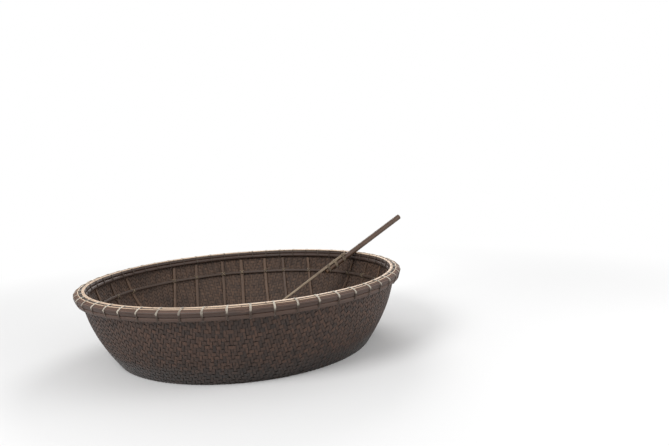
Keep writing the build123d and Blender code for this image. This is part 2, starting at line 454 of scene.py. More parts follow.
def joint_swell(along: Array, pitch: float, shift: float, rise: float, width: float) -> Array:
    """Share by which split bamboo is larger at its joints.

    Args:
        along: Lengths along the strip.
        pitch: Distance between joints.
        shift: Share of a pitch by which they are moved along.
        rise: How much larger it is at a joint.
        width: Width of the swelling.

    Returns:
        One share for each length.
    """
    phase = (along / pitch + shift) % 1.0
    return 1.0 + rise * np.exp(-((phase - 0.5) * pitch / width) ** 2)


def add_object(name: str, data: bpy.types.ID) -> bpy.types.Object:
    """New object of the scene with this mesh, lamp or camera."""
    made = bpy.data.objects.new(name, data)
    bpy.context.scene.collection.objects.link(made)
    return made


def store(mesh: bpy.types.Mesh, marks: dict[str, Array]) -> None:
    """Store numbers on a mesh's points, by name."""
    for name, numbers in marks.items():
        mesh.attributes.new(name, "FLOAT", "POINT").data.foreach_set("value", numbers)


def enlist(piece: bpy.types.Object, slot: str, *nodes: str) -> None:
    """Hand a finished piece to the frame.

    Args:
        piece: The piece, in place.
        slot: Its material slot; not used.
        nodes: CAD nodes that it stands for.
    """
    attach(piece, BODY)
    if nodes:
        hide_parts(*nodes)
    piece.data.calc_loop_triangles()
    LOG.info("%s: %d triangles, stands for %s", piece.name, len(piece.data.loop_triangles),
             ", ".join(nodes) or "no CAD node")


def loft(name: str, rings: list[Array], material: bpy.types.Material,
         marks: dict[str, Array]) -> bpy.types.Object:
    """Closed skin over rings of points, with both ends closed.

    Args:
        name: Name of the piece.
        rings: Rings with the same number of points, anticlockwise when looked at against the run.
        material: The finish.
        marks: Numbers to store on the points, by name.

    Returns:
        The finished object.
    """
    sides = len(rings[0])
    faces = []
    for row in range(0, (len(rings) - 1) * sides, sides):
        for n in range(sides):
            after = (n + 1) % sides
            faces.append((row + n, row + after, row + sides + after, row + sides + n))
    faces.append(tuple(reversed(range(sides))))
    faces.append(tuple(range((len(rings) - 1) * sides, len(rings) * sides)))
    mesh = bpy.data.meshes.new(name)
    mesh.from_pydata(np.concatenate(rings), [], faces)
    mesh.polygons.foreach_set("use_smooth", [True] * len(mesh.polygons))
    mesh.set_sharp_from_angle(angle=SHARP_TURN)
    store(mesh, marks)
    mesh.materials.append(material)
    return add_object(name, mesh)


@dataclass
class Line:
    """A line that a strip or cord follows, with the way its outer face looks."""

    points: Array
    facing: Array
    swell: Array | None = None
    along: Array | None = None
    marks: dict[str, Array] = field(default_factory=dict)

    def __post_init__(self) -> None:
        """Fill in the length along the line and an even size where they aren't given."""
        if self.along is None:
            self.along = run_lengths(self.points)
        if self.swell is None:
            self.swell = np.ones(len(self.points))


@dataclass(frozen=True)
class Section:
    """Cross-section of a strip or cord: a rounding of 1 gives an ellipse and 0 a rectangle."""

    width: float
    thickness: float
    corners: int
    rounding: float
    smooth: bool = True


def cord_section(cord: float, corners: int = 5) -> Section:
    """Round section of a cord."""
    return Section(cord, cord, corners, 1.0)


class StripSweep:
    """Geometry Nodes tree that sweeps a section along lines."""

    INPUTS = {"Width": "Float", "Thickness": "Float", "Corners": "Int", "Rounding": "Float", "Smooth": "Bool",
              "Seed": "Int", "Material": "Material"}

    def __init__(self) -> None:
        """Build the tree."""
        group = bpy.data.node_groups.new("strip_sweep", "GeometryNodeTree")
        for name, kind in {"Geometry": "Geometry", **self.INPUTS}.items():
            group.interface.new_socket(name, in_out="INPUT", socket_type=f"NodeSocket{kind}")
        group.interface.new_socket("Geometry", in_out="OUTPUT", socket_type="NodeSocketGeometry")
        self.group = group
        self.tree = NodeTree(group)
        start = self.tree.add("NodeGroupInput")
        part = self.tree.add("GeometryNodeCurveToMesh",
                             {"Curve": self._lines(start), "Profile Curve": self._section(start),
                              "Scale": self._stored("swell"), "Fill Caps": True})
        part = self.tree.add("GeometryNodeSetShadeSmooth",
                             {"Geometry": part, "Shade Smooth": start.pick("Smooth")})
        part = self.tree.add("GeometryNodeRealizeInstances", {"Geometry": part})
        part = self.tree.add("GeometryNodeSetMaterial", {"Geometry": part, "Material": start.pick("Material")})
        self.tree.add("NodeGroupOutput", {"Geometry": part})

    def _stored(self, name: str, kind: str = "FLOAT") -> Wire:
        """An attribute of the lines or the section, by name and type."""
        return self.tree.add("GeometryNodeInputNamedAttribute", {"Name": name}, data_type=kind)

    def _store(self, geometry: Wire, name: str, value: Wire, domain: str = "POINT") -> Wire:
        """The geometry with a number stored on it under a name."""
        values = {"Geometry": geometry, "Name": name, "Value": value}
        return self.tree.add("GeometryNodeStoreNamedAttribute", values, data_type="FLOAT", domain=domain)

    def _section(self, start: Wire) -> Wire:
        """Section curve, with across and outside stored on its points."""
        corners, rounding = start.pick("Corners"), start.pick("Rounding")
        ring = self.tree.add("GeometryNodeCurvePrimitiveCircle", {"Resolution": corners}, mode="RADIUS")
        angle = (self.tree.add("GeometryNodeInputIndex") + 0.5) * FULL_TURN / corners
        for name, operation in (("outside", "COSINE"), ("across", "SINE")):
            part = angle.apply(operation)
            ring = self._store(ring, name, part.apply("ABSOLUTE") ** rounding * part.apply("SIGN"))
        sizes = (("X", "outside", "Thickness"), ("Y", "across", "Width"))
        spot = self.tree.add("ShaderNodeCombineXYZ", {axis: self._stored(name) * start.pick(size) * 0.5
                                                      for axis, name, size in sizes})
        return self.tree.add("GeometryNodeSetPosition", {"Geometry": ring, "Position": spot})

    def _lines(self, start: Wire) -> Wire:
        """Curves with a tone each, which face the way that is stored on them."""
        lines = self.tree.add("GeometryNodeMeshToCurve", {"Mesh": start.pick("Geometry")}, mode="EDGES")
        tone = self.tree.add("FunctionNodeRandomValue",
                             {"ID": self.tree.add("GeometryNodeInputIndex"), "Seed": start.pick("Seed")},
                             data_type="FLOAT")
        return self.tree.add("GeometryNodeSetCurveNormal",
                             {"Curve": self._store(lines, "tone", tone, "CURVE"),
                              "Normal": self._stored("facing", "FLOAT_VECTOR")}, mode="FREE")

    def run(self, name: str, lines: list[Line], section: Section, material: bpy.types.Material,
            seed: int) -> bpy.types.Object:
        """Sweep a section along lines and make the result a plain mesh.

        Args:
            name: Name of the piece.
            lines: The lines.
            section: The cross-section.
            material: The finish.
            seed: Seed of the tones.

        Returns:
            The finished object, at the origin.
        """
        piece = self._line_object(name, lines)
        modifier = piece.modifiers.new("strip_sweep", "NODES")
        modifier.node_group = self.group
        # A section's fields have the names of the tree's inputs.
        values = {name.title(): value for name, value in vars(section).items()}
        values |= {"Seed": seed, "Material": material}
        for item in self.group.interface.items_tree:
            if item.in_out == "INPUT" and item.name in values:
                modifier[item.identifier] = values[item.name]
        graph = bpy.context.evaluated_depsgraph_get()
        mesh = bpy.data.meshes.new_from_object(piece.evaluated_get(graph), preserve_all_data_layers=True,
                                               depsgraph=graph)
        piece.modifiers.remove(modifier)
        piece.data = mesh
        mesh.name = name
        for spare in ("facing", "swell"):
            if spare in mesh.attributes:
                mesh.attributes.remove(mesh.attributes[spare])
        return piece

    @staticmethod
    def _line_object(name: str, lines: list[Line]) -> bpy.types.Object:
        """Object whose mesh holds the lines as edges.

        Args:
            name: Name of the object.
            lines: The lines.

        Returns:
            The object.
        """
        points = np.concatenate([line.points for line in lines])
        lasts = np.cumsum([len(line.points) for line in lines]) - 1
        starts = np.setdiff1d(np.arange(len(points)), lasts)
        mesh = bpy.data.meshes.new(name + "_lines")
        mesh.from_pydata(points, np.stack([starts, starts + 1], 1), [])
        facing = mesh.attributes.new("facing", "FLOAT_VECTOR", "POINT")
        facing.data.foreach_set("vector", np.concatenate([line.facing for line in lines]).ravel())
        rows = [{"swell": line.swell, "along": line.along, **line.marks} for line in lines]
        store(mesh, {key: np.concatenate([row[key] for row in rows]) for key in rows[0]})
        return add_object(name, mesh)


@dataclass
class BowlForm:
    """Smooth round bowl that touches the middle of each flat band of the CAD mat's outer face.

    The corners, the rim's foot and the top are radii and heights of the CAD mat's outline.
    """

    corners: tuple[Pair, ...] = (
        (0.640, 0.0), (0.8418, 0.0302), (0.8826, 0.0466), (0.9190, 0.0712), (0.9493, 0.1032),
        (1.0441, 0.2491), (1.1176, 0.4068))
    flat_radius: float = 0.555
    rim_foot: Pair = (1.1612, 0.5753)
    top: Pair = (1.1758, 0.6317)
    floor_points: int = 80
    bend_points: int = 60
    lengths: Array = field(init=False)
    radii: Array = field(init=False)
    heights: Array = field(init=False)
    slopes: Array = field(init=False)

    def __post_init__(self) -> None:
        """Trace the section from the middle of the floor to the rim's top."""
        corners = [np.array(c) for c in self.corners]
        joints = [np.array((self.flat_radius, 0.0))]
        joints += [(a + b) / 2 for a, b in zip(corners, corners[1:])]
        joints.append((corners[-1] + np.array(self.rim_foot)) / 2)
        t = np.linspace(0, 1, self.bend_points)[1:, None]
        trace = [np.linspace((0.0, 0.0), joints[0], self.floor_points)]
        for before, corner, after in zip(joints, corners, joints[1:]):
            trace.append((1 - t) ** 2 * before + 2 * t * (1 - t) * corner + t ** 2 * after)
        trace.append(np.linspace(joints[-1], self.top, self.bend_points)[1:])
        line = np.concatenate(trace)
        steps = np.diff(line, axis=0)
        slopes = np.arctan2(steps[:, 1], steps[:, 0])
        self.lengths, self.radii, self.heights = run_lengths(line), line[:, 0], line[:, 1]
        self.slopes = np.concatenate([[0.0], (slopes[1:] + slopes[:-1]) / 2, slopes[-1:]])

    @property
    def reach(self) -> float:
        """Length from the middle of the floor to the rim's top."""
        return float(self.lengths[-1])

    @property
    def foot_length(self) -> float:
        """Length from the middle of the floor to the rim's foot."""
        return float(np.interp(self.rim_foot[1], self.heights, self.lengths))

    def slope(self, lengths: Numbers) -> Array:
        """Slopes above level at lengths from the middle of the floor."""
        return np.interp(lengths, self.lengths, self.slopes)

    def radius(self, lengths: Numbers, inset: Numbers) -> Array:
        """Radii at lengths from the middle of the floor, so far inside the outer face."""
        return np.interp(lengths, self.lengths, self.radii) - inset * np.sin(self.slope(lengths))

    def place(self, lengths: Array, angles: Array, inset: Numbers) -> Array:
        """Points on the bowl.

        Args:
            lengths: Lengths from the middle of the floor.
            angles: Angles round the hull.
            inset: Distance inwards from the outer face.

        Returns:
            One point for each length.
        """
        height = np.interp(lengths, self.lengths, self.heights) + inset * np.cos(self.slope(lengths))
        return around(self.radius(lengths, inset), angles, height)

    def inward(self, lengths: Array, angles: Array) -> Array:
        """Directions square to the bowl, into the boat, for lengths and angles."""
        return around(-np.sin(self.slope(lengths)), angles, np.cos(self.slope(lengths)))


class StripSet(Enum):
    """The two sets of strips of the mat."""

    WEFT = 0
    WARP = 1


@dataclass
class WovenMat:
    """Round mat of split-bamboo strips in a twill of two over and two under, pressed into the bowl.

    The twill turns about at the middle strip of each set, so its steps meet there in a chevron.
    The coat's floor and wall each give where the rings of its mesh end or start, and how many there are.
    """

    form: BowlForm
    sweep: StripSweep
    weft_pitch: float = 0.0270
    warp_pitch: float = 0.0200
    gap: float = 0.0008
    thickness: float = 0.0024
    wave: float = 0.0031
    middle: float = 0.0045
    turn: float = math.radians(-5)
    trim: float = 0.004
    end_room: float = 0.004
    shift: float = 0.0004
    drift: float = 0.00012
    width_range: Pair = (-0.06, 0.02)
    grain_shift: float = 5.0
    coat: float = 0.0008
    coat_trim: float = 0.02
    coat_sides: int = 108
    coat_floor: tuple[float, int] = (0.55, 6)
    coat_wall: tuple[float, int] = (0.58, 48)
    seed: int = 31
    tone_seed: int = 11
    finish: WovenBamboo = WovenBamboo()

    def _lines(self, strips: StripSet) -> list[Line]:
        """Lines of one set of strips in the flat mat.

        Args:
            strips: Which set.

        Returns:
            One line for each strip.
        """
        reach = self.form.reach - self.trim
        weft = strips is StripSet.WEFT
        pitch, across = (self.weft_pitch, self.warp_pitch) if weft else (self.warp_pitch, self.weft_pitch)
        count, crossed = int(reach / pitch), int(reach / across)
        crossings = np.arange(-crossed, crossed + 1)
        rng = np.random.default_rng(self.seed + strips.value)
        lines = []
        for number in range(-count, count + 1):
            offset = number * pitch
            half = math.sqrt(max(reach ** 2 - offset ** 2, 0.0))
            cells = crossings[np.abs(crossings * across) < half - self.end_room]
            if len(cells) < 2:
                continue
            step = np.abs(cells) - abs(number)
            over = (step if weft else -step) % 4 < 2
            lift = np.concatenate([[0.0], np.where(over == weft, self.wave, -self.wave), [0.0]])
            run = np.concatenate([[-half], cells * across, [half]])
            side = offset + rng.normal(0, self.shift) + np.cumsum(rng.normal(0, self.drift, len(run)))
            points = np.stack([*((run, side) if weft else (side, run)), lift], -1)
            swell = np.full(len(run), 1.0 + rng.uniform(*self.width_range))
            up = np.tile((0.0, 0.0, 1.0), (len(run), 1))
            marks = {"lift": (lift / self.wave + 1) / 2}
            lines.append(Line(points, up, swell, run + rng.uniform(0, self.grain_shift), marks))
        return lines

    def _drape(self, piece: bpy.types.Object) -> None:
        """Press a flat piece, which lies with its outer face up, into the bowl."""
        vertices = piece.data.vertices
        flat = np.empty(len(vertices) * 3)
        vertices.foreach_get("co", flat)
        x, y, z = flat.reshape(-1, 3).T
        lengths = np.minimum(np.hypot(x, y), self.form.reach - self.trim)
        draped = self.form.place(lengths, self.turn - np.arctan2(y, x), self.middle - z)
        vertices.foreach_set("co", draped.ravel())
        piece.data.update()

    def _coat(self) -> None:
        """Thin closed layer of pitch in the middle of the mat, which fills the gaps between strips."""
        (floor_end, floor_rings), (wall_start, wall_rings) = self.coat_floor, self.coat_wall
        lengths = np.concatenate([np.linspace(self.coat_trim, floor_end, floor_rings),
                                  np.linspace(wall_start, self.form.reach - self.coat_trim, wall_rings)])
        turns = np.linspace(0, FULL_TURN, self.coat_sides, endpoint=False)
        insets = (self.middle - self.coat / 2, self.middle + self.coat / 2)
        outer, inner = ([self.form.place(np.full(self.coat_sides, length), turns, inset) for length in lengths]
                        for inset in insets)
        piece = loft("mat_pitch_coat", outer + inner[::-1], TarCoat().material(), {})
        enlist(piece, "woven_bamboo", "woven_mat")

    def build(self) -> None:
        """Weave both sets of strips and fill the gaps between them."""
        material = self.finish.material()
        for strips in StripSet:
            pitch = self.weft_pitch if strips is StripSet.WEFT else self.warp_pitch
            section = Section(pitch - self.gap, self.thickness, 4, 0.0, smooth=False)
            piece = self.sweep.run(f"mat_{strips.name.lower()}", self._lines(strips), section, material,
                                   self.tone_seed + strips.value)
            self._drape(piece)
            enlist(piece, "woven_bamboo", "woven_mat")
        self._coat()


@dataclass(frozen=True)
class RimStrip:
    """One strip of the rim, placed in the rim's section: out from the mat, up from the rim's foot.

    Its look is where its face points, in degrees up from outwards, and its start is where its ends meet.
    """

    name: str
    out: float
    up: float
    width: float
    thickness: float
    look: float
    start: float
    nodes: tuple[str, ...] = ()


@dataclass(frozen=True)
class RimTuck:
    """Slim strip from one angle to another, which climbs from the rim's outer face to its shoulder."""

    name: str
    start: float
    end: float
    climb: float = 6.5


@dataclass
class RimBundle:
    """Bundle of split-bamboo strips round the mat's edge.

    Sway, lift and roll say how far a strip wanders. Its joints are the joint step, a share of their pitch,
    further on than those of the strip before.
    """

    form: BowlForm
    sweep: StripSweep
    slope: float = math.radians(75.5)
    stations: int = 360
    joint_pitch: float = 0.34
    joint_step: float = 0.13
    joint_rise: float = 0.035
    joint_width: float = 0.014
    sway: float = 0.0011
    lift: float = 0.0009
    roll: float = 0.10
    seed: int = 3
    tone_seed: int = 21
    slim: float = 0.006
    slim_shape: tuple[int, float] = (6, 0.35)
    stout_shape: tuple[int, float] = (12, 0.62)
    edge_finish: SplitBamboo = SplitBamboo(
        "rim_edge_bamboo", linear(82, 60, 49), linear(42, 31, 26), linear(152, 115, 95), edge_share=0.75)
    hoop_finish: SplitBamboo = SplitBamboo(
        "rim_bamboo", linear(84, 62, 51), linear(43, 32, 27), linear(122, 95, 78))
    dark_finish: SplitBamboo = SplitBamboo(
        "rim_dark_bamboo", linear(58, 43, 36), linear(33, 25, 21), linear(78, 60, 49), edge_share=0.4)
    pale_finish: SplitBamboo = SplitBamboo(
        "rim_pale_bamboo", linear(220, 196, 170), linear(168, 136, 110), linear(230, 210, 184), roughness=0.42)
    hoops: tuple[RimStrip, ...] = (
        RimStrip("rim_outer_hoop_lower", 0.0165, 0.0140, 0.0300, 0.0330, -3.0, 24.8, ("rim_outer_hoop_1",)),
        RimStrip("rim_outer_hoop_upper", 0.0165, 0.0430, 0.0290, 0.0330, 5.0, 151.5, ("rim_outer_hoop_2",)),
        RimStrip("rim_inner_hoop_lower", -0.0262, 0.0145, 0.0290, 0.0330, 180.0, 278.1, ("rim_inner_hoop_1",)),
        RimStrip("rim_inner_hoop_upper", -0.0255, 0.0425, 0.0260, 0.0310, 174.0, 71.5),
    )
    outer_edges: tuple[RimStrip, ...] = (
        RimStrip("rim_cap_strip_a", 0.0255, 0.0582, 0.0110, 0.0052, 14.0, 198.1, ("rim_cap_strip_1",)),
        RimStrip("rim_cap_strip_b", 0.0190, 0.0606, 0.0120, 0.0050, 8.0, 318.1),
        RimStrip("rim_cap_strip_c", 0.0125, 0.0612, 0.0125, 0.0050, 4.0, 44.8),
        RimStrip("rim_cap_strip_d", 0.0062, 0.0626, 0.0120, 0.0050, 0.0, 118.1),
    )
    inner_edges: tuple[RimStrip, ...] = (
        RimStrip("rim_cap_strip_e", -0.0062, 0.0612, 0.0120, 0.0052, 0.0, 4.8),
        RimStrip("rim_cap_strip_f", -0.0124, 0.0620, 0.0120, 0.0052, -2.0, 258.1),
        RimStrip("rim_cap_strip_g", -0.0186, 0.0604, 0.0110, 0.0052, -4.0, 171.5),
    )
    pale_strips: tuple[RimStrip, ...] = (
        RimStrip("rim_pale_strip_thin", 0.0000, 0.0640, 0.0120, 0.0050, -1.0, 238.1),
        RimStrip("rim_pale_strip_broad", -0.0325, 0.0602, 0.0200, 0.0085, 104.0, 91.5),
    )
    tucks: tuple[RimTuck, ...] = (
        RimTuck("rim_tucked_strip_1", -91.4, 98.1),
        RimTuck("rim_tucked_strip_2", 94.2, 204.8),
        RimTuck("rim_tucked_strip_3", 201.0, 264.8),
    )
    tuck_section: Section = Section(0.0105, 0.0044, 6, 0.4)
    tuck_face: Triple = (0.0352, 0.0450, 3.0)
    tuck_shoulder: Triple = (0.0315, 0.0588, 38.0)
    tuck_taper: float = 0.05
    tuck_end: float = 0.35
    tuck_sway: float = 0.0008
    tuck_density: float = 1.2
    tuck_seed: int = 15
    tuck_tone_seed: int = 33
    outline_corners: int = 10
    outline_rounding: float = 0.6
    outline_tuck: float = 0.9

    def place(self, out: Array, up: Array, angles: Array) -> Array:
        """Points of the rim's section, given out from the mat and up from the rim's foot, at angles."""
        radius, height = self.form.rim_foot
        sine, cosine = math.sin(self.slope), math.cos(self.slope)
        return around(radius + out * sine + up * cosine, angles, height - out * cosine + up * sine)

    def tilt(self, degrees: Numbers) -> Array:
        """Slopes above level, in radians, of directions in degrees up from straight out of the rim."""
        return np.radians(degrees) + self.slope - math.pi / 2

    def look(self, degrees: Numbers, angles: Array) -> Array:
        """Directions that are given in degrees up from straight out of the rim, at angles."""
        return around(np.cos(self.tilt(degrees)), angles, np.sin(self.tilt(degrees)))

    def _line(self, strip: RimStrip, seed: int) -> Line:
        """Once round the rim, from under one lashing back to it.

        Args:
            strip: The strip.
            seed: Seed of its unevenness.

        Returns:
            Its line.
        """
        angles = math.radians(strip.start) + np.linspace(0, FULL_TURN, self.stations + 1)
        radius, _, height = self.place(strip.out, strip.up, 0.0)
        tilt = self.tilt(strip.look)
        sway = wander(angles, self.sway, seed)
        lift = wander(angles, self.lift, seed + 50)
        roll = wander(angles, self.roll, seed + 90)
        points = around(radius + sway * np.cos(tilt), angles, height + sway * np.sin(tilt) + lift)
        facing = around(np.cos(tilt + roll), angles, np.sin(tilt + roll))
        along = radius * (angles - angles[0])
        swell = joint_swell(along, self.joint_pitch, self.joint_step * seed, self.joint_rise,
                            self.joint_width)
        return Line(points, facing, swell, along)

    def _tuck_places(self, tuck: RimTuck, degrees: Array) -> Array:
        """Out, up and look of a slim strip in the rim's section.

        Args:
            tuck: The strip.
            degrees: Angles round the hull, from its start on.

        Returns:
            One row for each angle.
        """
        share = np.clip((degrees - tuck.start) / tuck.climb, 0, 1)
        share = share * share * (3 - 2 * share)
        face, shoulder = np.array(self.tuck_face), np.array(self.tuck_shoulder)
        return face + (shoulder - face) * share[:, None]

    def _tuck_line(self, tuck: RimTuck, seed: int) -> Line:
        """Line of a slim strip that climbs from the outer face to the shoulder.

        Args:
            tuck: The strip.
            seed: Seed of its unevenness.

        Returns:
            Its line, tapered at both ends.
        """
        degrees = np.linspace(tuck.start, tuck.end, int((tuck.end - tuck.start) * self.tuck_density))
        angles = np.radians(degrees)
        out, up, look = self._tuck_places(tuck, degrees).T
        points = self.place(out, up + wander(angles, self.tuck_sway, seed), angles)
        along = math.hypot(*points[0, :2]) * (angles - angles[0])
        swell = np.clip(self.tuck_end + np.minimum(along, along[-1] - along) / self.tuck_taper, 0, 1)
        return Line(points, self.look(look, angles), swell, along)

    def build(self) -> None:
        """Bend every strip round the rim."""
        kinds = ((self.hoops, self.hoop_finish), (self.outer_edges, self.edge_finish),
                 (self.inner_edges, self.dark_finish), (self.pale_strips, self.pale_finish))
        for strips, finish in kinds:
            material = finish.material()
            for number, strip in enumerate(strips):
                shape = self.slim_shape if strip.thickness < self.slim else self.stout_shape
                section = Section(strip.width, strip.thickness, *shape)
                line = self._line(strip, self.seed + number)
                piece = self.sweep.run(strip.name, [line], section, material, self.tone_seed + number)
                enlist(piece, "rim_bamboo", *strip.nodes)
        material = self.edge_finish.material()
        for number, tuck in enumerate(self.tucks):
            line = self._tuck_line(tuck, self.tuck_seed + number)
            piece = self.sweep.run(tuck.name, [line], self.tuck_section, material,
                                   self.tuck_tone_seed + number)
            enlist(piece, "rim_bamboo")

    def outline(self, angle: float) -> Array:
        """Points round every strip of the rim's section.

        Args:
            angle: Where the rim is cut, in radians round the hull.

        Returns:
            The points, out and up.
        """
        strips = [(s.out, s.up, s.look, s.width, s.thickness)
                  for s in self.hoops + self.outer_edges + self.inner_edges + self.pale_strips]
        for tuck in self.tucks:
            run = (math.degrees(angle) - tuck.start) % 360
            if run <= tuck.end - tuck.start:
                place = self._tuck_places(tuck, np.array([tuck.start + run]))[0]
                strips.append((*place, self.tuck_section.width * self.outline_tuck,
                               self.tuck_section.thickness))
        count = self.outline_corners
        turns = np.linspace(0, FULL_TURN, count, endpoint=False) + math.pi / count
        corners = np.stack([np.cos(turns), np.sin(turns)], -1)
        corners = np.copysign(np.abs(corners) ** self.outline_rounding, corners)
        points = []
        for out, up, look, width, thickness in strips:
            c, s = math.cos(math.radians(look)), math.sin(math.radians(look))
            points.append((corners * (thickness / 2, width / 2)) @ ((c, s), (-s, c)) + (out, up))
        return np.concatenate(points)


def hull_of(points: Array) -> Array:
    """Corners of the convex outline of points of a plane, anticlockwise."""
    ordered = sorted(map(tuple, points))
    halves = []
    for sequence in (ordered, ordered[::-1]):
        chain: list[Pair] = []
        for point in sequence:
            while len(chain) > 1 and ((chain[-1][0] - chain[-2][0]) * (point[1] - chain[-2][1])
                                      <= (chain[-1][1] - chain[-2][1]) * (point[0] - chain[-2][0])):
                chain.pop()
            chain.append(point)
        halves += chain[:-1]
    return np.array(halves)


def ring_round(points: Array, gap: float, count: int, corner_points: int = 12) -> Array:
    """Even points of the outline that runs a gap outside the convex outline of points.

    Args:
        points: Points of a plane.
        gap: Distance outside.
        count: Number of points.
        corner_points: Points of the circle that rounds the corners.

    Returns:
        The points, anticlockwise.
    """
    turns = np.linspace(0, FULL_TURN, corner_points, endpoint=False)
    circle = np.stack([np.cos(turns), np.sin(turns)], -1) * gap
    outline = hull_of((hull_of(points)[:, None] + circle[None]).reshape(-1, 2))
    closed = np.concatenate([outline, outline[:1]])
    lengths = run_lengths(closed)
    places = np.linspace(0, lengths[-1], count, endpoint=False)
    return np.stack([np.interp(places, lengths, closed[:, axis]) for axis in (0, 1)], -1)


@dataclass
class RimLashings:
    """Turns of cord round the whole rim, through the mat under the outer hoop.

    Seat, spacing, knot reach and knot lift are shares of the cord's thickness.
    """

    rim: RimBundle
    sweep: StripSweep
    count: int = 54
    first: float = math.radians(4.8)
    cord: float = 0.0036
    seat: float = 0.45
    spacing: Pair = (1.0, 1.15)
    uneven: float = 0.0004
    slant: float = 0.06
    angle_shift: float = 0.003
    seed: int = 71
    tone_seed: int = 5
    turns: int = 3
    points_per_turn: int = 18
    knot_turns: int = 2
    knot_points: int = 25
    knot_rise: float = 0.010
    knot_worn: float = 0.15
    knot_shift: float = 0.0025
    knot_slant: float = 0.4
    knot_reach: float = 0.4
    knot_lift: float = 1.15
    # Painted shade: below this height and inside this reach the cord is painted darker; above it stays pale,
    # where it is worn.
    bare_from: float = 0.040
    bare_blend: float = 0.020
    soiled_inside: float = -0.046
    soiled_blend: float = 0.012
    finish: TwistedCord = TwistedCord("rim_cord", linear(224, 216, 200), linear(74, 59, 49), fades=True)

    def _line(self, angle: float, ring: Array, rng: np.random.Generator) -> Line:
        """Line of one lashing.

        Args:
            angle: Its angle round the hull.
            ring: Points round the rim's section there.
            rng: Source of its unevenness.

        Returns:
            The line, which climbs by one cord for each turn.
        """
        middle = ring.mean(axis=0)
        steps = np.arange(self.turns * self.points_per_turn + 1)
        section = ring[steps % self.points_per_turn]
        slip = (steps / self.points_per_turn - self.turns / 2) * self.cord * rng.uniform(*self.spacing)
        slip = slip + rng.normal(0, self.uneven, len(steps))
        slip = slip + rng.uniform(-self.slant, self.slant) * (section[:, 1] - middle[1])
        out, up = section.T
        turned = angle + slip / self.rim.form.rim_foot[0]
        looks = np.degrees(np.arctan2(up - middle[1], out - middle[0]))
        # Worn share: pale on the rim's top, and painted shade lower down and on the rim's inner side.
        worn = (np.clip((up - self.bare_from) / self.bare_blend, 0, 1)
                * np.clip((out - self.soiled_inside) / self.soiled_blend, 0, 1))
        return Line(self.rim.place(out, up, turned), self.rim.look(looks, turned), marks={"worn": worn})

    def _knot(self, angle: float, ring: Array, rng: np.random.Generator) -> Line:
        """Turns that draw the cords of a lashing together on the rim's inner face.

        Args:
            angle: Its angle round the hull.
            ring: Points round the rim's section there.
            rng: Source of its unevenness.

        Returns:
            The line.
        """
        inner = ring[np.argmin(ring[:, 0])]
        height = inner[1] + self.knot_rise + rng.normal(0, self.knot_shift)
        whole = FULL_TURN * self.knot_turns
        turns = np.linspace(0, whole, self.knot_points)
        slip = self.cord * (self.turns / 2 + self.knot_reach) * np.cos(turns)
        out = inner[0] - self.cord * self.knot_lift * np.sin(turns)
        slant = rng.uniform(-self.knot_slant, self.knot_slant)
        up = height + (turns / whole - 0.5) * self.cord * 2 + slip * slant
        points = self.rim.place(out, up, angle + slip / self.rim.form.rim_foot[0])
        facing = self.rim.look(180.0, np.full(len(turns), angle))
        # The knot lies on the inner face, mostly in painted shade.
        return Line(points, facing, marks={"worn": np.full(len(turns), self.knot_worn)})

    def build(self) -> None:
        """Tie every lashing."""
        rng = np.random.default_rng(self.seed)
        angles = [self.first + FULL_TURN * number / self.count + rng.normal(0, self.angle_shift)
                  for number in range(self.count)]
        rings = [ring_round(self.rim.outline(angle), self.cord * self.seat, self.points_per_turn)
                 for angle in angles]
        lines = [make(angle, ring, rng) for make in (self._line, self._knot)
                 for angle, ring in zip(angles, rings)]
        piece = self.sweep.run("rim_lashings_cord", lines, cord_section(self.cord), self.finish.material(),
                               self.tone_seed)
        enlist(piece, "cord", "rim_lashings")


